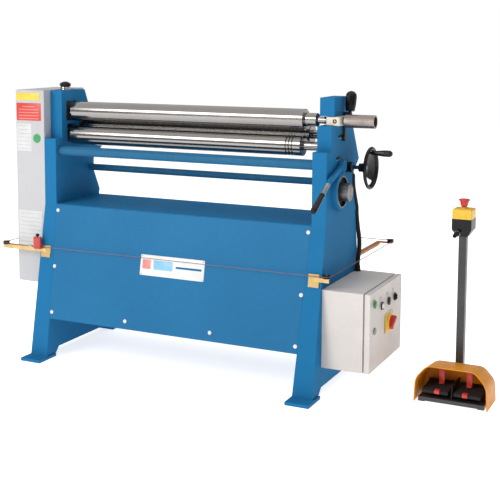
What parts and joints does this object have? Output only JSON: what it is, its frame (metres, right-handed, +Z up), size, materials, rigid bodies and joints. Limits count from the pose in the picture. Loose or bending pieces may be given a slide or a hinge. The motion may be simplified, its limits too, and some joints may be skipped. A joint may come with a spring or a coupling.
{
  "type": "plate rolling machine",
  "caption": "Floor-standing plate bending machine with powered rolls, swing-out top roll, pinch lever, handwheel, control cabinet, trip wire and foot switch.",
  "frame": {"origin": "middle of the footprint, on the floor", "axes": "+X along the rolls towards the end that swings out, +Y to the rear, +Z up"},
  "size_m": [2.0392, 0.9406, 1.1433],
  "materials": {
    "frame_blue": "semi-gloss enamel",
    "panel_blue": "semi-gloss enamel",
    "cover_grey": "powder coat",
    "drive_grey": "paint",
    "machined_steel": "machined",
    "roll_steel": "ground and polished",
    "bearing_steel": "machined",
    "tube_steel": "drawn",
    "wire_steel": "stranded",
    "black_plastic": "moulded",
    "black_rubber": "ribbed",
    "orange_paint": "powder coat",
    "red_paint": "enamel",
    "red_plastic": "moulded",
    "green_plastic": "moulded",
    "white_plastic": "moulded",
    "yellow_plastic": "moulded",
    "cabinet_white": "powder coat",
    "post_black": "powder coat"
  },
  "bodies": {
    "machine": {"left_frame": "frame_blue", "right_frame": "frame_blue", "front_tie_bar": "frame_blue", "rear_tie_bar": "frame_blue", "deck": "frame_blue", "front_panel": "panel_blue", "rear_panel": "panel_blue", "gear_cover": "cover_grey", "trip_bracket_left": "orange_paint", "trip_bracket_right": "orange_paint", "trip_arm_rear_left": "orange_paint", "trip_arm_rear_right": "orange_paint", "trip_switch": "red_paint", "trip_wire": "wire_steel", "cable_conduit": "black_plastic", "cabinet": "cabinet_white", "pedal_base": "post_black", "pedal_guard": "orange_paint", "stop_station": "black_plastic", "stop_cover": "yellow_plastic"},
    "swing_carrier": {"roll_yoke": "bearing_steel", "swing_bearing": "bearing_steel"},
    "top_roll_set": {"top_roll": "roll_steel", "pull_tube": "tube_steel", "top_roll_gear": "machined_steel"},
    "lubricator": {"lubricator_cap": "black_plastic"},
    "pinch_slide_set": {"lower_bearing_left": "bearing_steel", "lower_bearing_right": "bearing_steel", "gearbox": "drive_grey", "drive_motor": "drive_grey"},
    "lower_roll_set": {"lower_roll": "roll_steel", "lower_roll_gear": "machined_steel"},
    "rear_slide_set": {"rear_bearing_left": "bearing_steel", "rear_bearing_right": "bearing_steel"},
    "rear_roll_set": {"rear_roll": "roll_steel"},
    "handwheel_set": {"handwheel": "black_plastic", "handwheel_spindle": "roll_steel"},
    "crank_grip": {"handwheel_grip": "black_plastic"},
    "pinch_lever_set": {"pinch_lever": "frame_blue", "pinch_grip": "black_plastic"},
    "eccentric": {"eccentric_shaft": "roll_steel"},
    "release_lever_set": {"release_lever": "bearing_steel", "release_grip": "black_plastic"},
    "reset_plunger": {"trip_reset": "black_plastic"},
    "door": {"cabinet_door": "cabinet_white", "power_lamp": "green_plastic"},
    "start": {"start_button": "white_plastic"},
    "stop": {"stop_button": "black_plastic"},
    "selector": {"mode_selector": "black_plastic"},
    "main_switch": {"main_switch_handle": "red_plastic"},
    "lock": {"door_lock": "machined_steel"},
    "left_pedal": {"pedal_left": "black_rubber"},
    "right_pedal": {"pedal_right": "black_rubber"},
    "left_latch": {"pedal_latch_left": "red_plastic"},
    "right_latch": {"pedal_latch_right": "red_plastic"},
    "mushroom": {"stop_mushroom": "red_plastic"},
    "pulley_front_left": {"trip_pulley_front_left": "orange_paint"},
    "pulley_front_right": {"trip_pulley_front_right": "orange_paint"},
    "pulley_rear_left": {"trip_pulley_rear_left": "orange_paint"},
    "pulley_rear_right": {"trip_pulley_rear_right": "orange_paint"}
  },
  "joints": [
    {"name": "top_roll_swing", "type": "hinge", "parent": "machine", "child": "swing_carrier", "pos_m": [-0.79585, -0.17335, 1.0196], "axis": [0, 0, 1], "range_deg": [-9, 0]},
    {"name": "top_roll_spin", "type": "hinge", "parent": "swing_carrier", "child": "top_roll_set", "pos_m": [-0.76735, -0.17335, 1.0196], "axis": [1, 0, 0], "continuous": true},
    {"name": "lubricator_turn", "type": "hinge", "parent": "machine", "child": "lubricator", "pos_m": [-0.79585, -0.17335, 1.1213], "axis": [0, 0, 1], "range_deg": [0, 360]},
    {"name": "pinch_slide", "type": "slide", "parent": "machine", "child": "pinch_slide_set", "axis": [0, 0, 1], "range_m": [0, 0.016]},
    {"name": "lower_roll_spin", "type": "hinge", "parent": "pinch_slide_set", "child": "lower_roll_set", "pos_m": [-0.76735, -0.17335, 0.9194], "axis": [1, 0, 0], "continuous": true},
    {"name": "rear_roll_slide", "type": "slide", "parent": "machine", "child": "rear_slide_set", "axis": [0, -0.5, 0.866], "range_m": [0, 0.036]},
    {"name": "rear_roll_spin", "type": "hinge", "parent": "rear_slide_set", "child": "rear_roll_set", "pos_m": [-0.76735, -0.08075, 0.955], "axis": [1, 0, 0], "continuous": true},
    {"name": "handwheel_turn", "type": "hinge", "parent": "machine", "child": "handwheel_set", "pos_m": [0.43215, -0.06575, 0.834], "axis": [1, 0, 0], "range_deg": [0, 2160]},
    {"name": "crank_grip_spin", "type": "hinge", "parent": "handwheel_set", "child": "crank_grip", "pos_m": [0.53015, -0.06575, 0.8925], "axis": [1, 0, 0], "continuous": true},
    {"name": "pinch_lever_turn", "type": "hinge", "parent": "machine", "child": "pinch_lever_set", "pos_m": [0.43215, -0.15275, 0.849], "axis": [-1, 0, 0], "range_deg": [0, 40]},
    {"name": "eccentric_turn", "type": "hinge", "parent": "machine", "child": "eccentric", "pos_m": [0.43215, -0.17375, 0.752], "axis": [-1, 0, 0], "range_deg": [0, 40]},
    {"name": "release_lever_turn", "type": "hinge", "parent": "machine", "child": "release_lever_set", "pos_m": [0.43215, -0.12275, 0.952], "axis": [-1, 0, 0], "range_deg": [0, 60]},
    {"name": "pulley_front_left_spin", "type": "hinge", "parent": "machine", "child": "pulley_front_left", "pos_m": [-1.00365, -0.32705, 0.457], "axis": [0, 0, 1], "continuous": true},
    {"name": "pulley_front_right_spin", "type": "hinge", "parent": "machine", "child": "pulley_front_right", "pos_m": [0.45045, -0.32705, 0.457], "axis": [0, 0, 1], "continuous": true},
    {"name": "pulley_rear_left_spin", "type": "hinge", "parent": "machine", "child": "pulley_rear_left", "pos_m": [-1.00365, 0.45425, 0.457], "axis": [0, 0, 1], "continuous": true},
    {"name": "pulley_rear_right_spin", "type": "hinge", "parent": "machine", "child": "pulley_rear_right", "pos_m": [0.45045, 0.45425, 0.457], "axis": [0, 0, 1], "continuous": true},
    {"name": "trip_reset_push", "type": "slide", "parent": "machine", "child": "reset_plunger", "axis": [0, 0, -1], "range_m": [0, 0.003], "stiffness_N_per_m": 400, "springref_m": -0.002},
    {"name": "cabinet_door_turn", "type": "hinge", "parent": "machine", "child": "door", "pos_m": [0.60115, 0.07105, 0.112], "axis": [0, 0, 1], "range_deg": [0, 25]},
    {"name": "start_button_push", "type": "slide", "parent": "door", "child": "start", "axis": [-1, 0, 0], "range_m": [0, 0.003], "stiffness_N_per_m": 500, "springref_m": -0.002},
    {"name": "stop_button_push", "type": "slide", "parent": "door", "child": "stop", "axis": [-1, 0, 0], "range_m": [0, 0.003], "stiffness_N_per_m": 500, "springref_m": -0.002},
    {"name": "mode_selector_turn", "type": "hinge", "parent": "door", "child": "selector", "pos_m": [0.61665, -0.03575, 0.339], "axis": [1, 0, 0], "range_deg": [-45, 45]},
    {"name": "main_switch_turn", "type": "hinge", "parent": "door", "child": "main_switch", "pos_m": [0.61665, -0.09675, 0.254], "axis": [1, 0, 0], "range_deg": [0, 90]},
    {"name": "door_lock_turn", "type": "hinge", "parent": "door", "child": "lock", "pos_m": [0.61665, -0.27175, 0.26], "axis": [1, 0, 0], "range_deg": [0, 90]},
    {"name": "pedal_left_press", "type": "hinge", "parent": "machine", "child": "left_pedal", "pos_m": [0.82615, -0.08575, 0.05], "axis": [1, 0, 0], "range_deg": [0, 8], "stiffness_Nm_per_rad": 3, "springref_deg": -17.19},
    {"name": "pedal_latch_left_push", "type": "hinge", "parent": "machine", "child": "left_latch", "pos_m": [0.84385, -0.12275, 0.132], "axis": [1, 0, 0], "range_deg": [0, 15]},
    {"name": "pedal_right_press", "type": "hinge", "parent": "machine", "child": "right_pedal", "pos_m": [0.94415, -0.08575, 0.05], "axis": [1, 0, 0], "range_deg": [0, 8], "stiffness_Nm_per_rad": 3, "springref_deg": -17.19},
    {"name": "pedal_latch_right_push", "type": "hinge", "parent": "machine", "child": "right_latch", "pos_m": [0.92645, -0.12275, 0.132], "axis": [1, 0, 0], "range_deg": [0, 15]},
    {"name": "stop_mushroom_push", "type": "slide", "parent": "machine", "child": "mushroom", "axis": [0, 0, -1], "range_m": [0, 0.005], "stiffness_N_per_m": 1500, "springref_m": -0.003}
  ],
  "couplings": [
    {"joint": "lower_roll_spin", "follows": "top_roll_spin", "ratio": -1},
    {"joint": "pinch_slide", "follows": "pinch_lever_turn", "m_per_rad": 0.0229},
    {"joint": "eccentric_turn", "follows": "pinch_lever_turn", "ratio": 1},
    {"joint": "handwheel_turn", "follows": "rear_roll_slide", "rad_per_m": 1047.2}
  ]
}
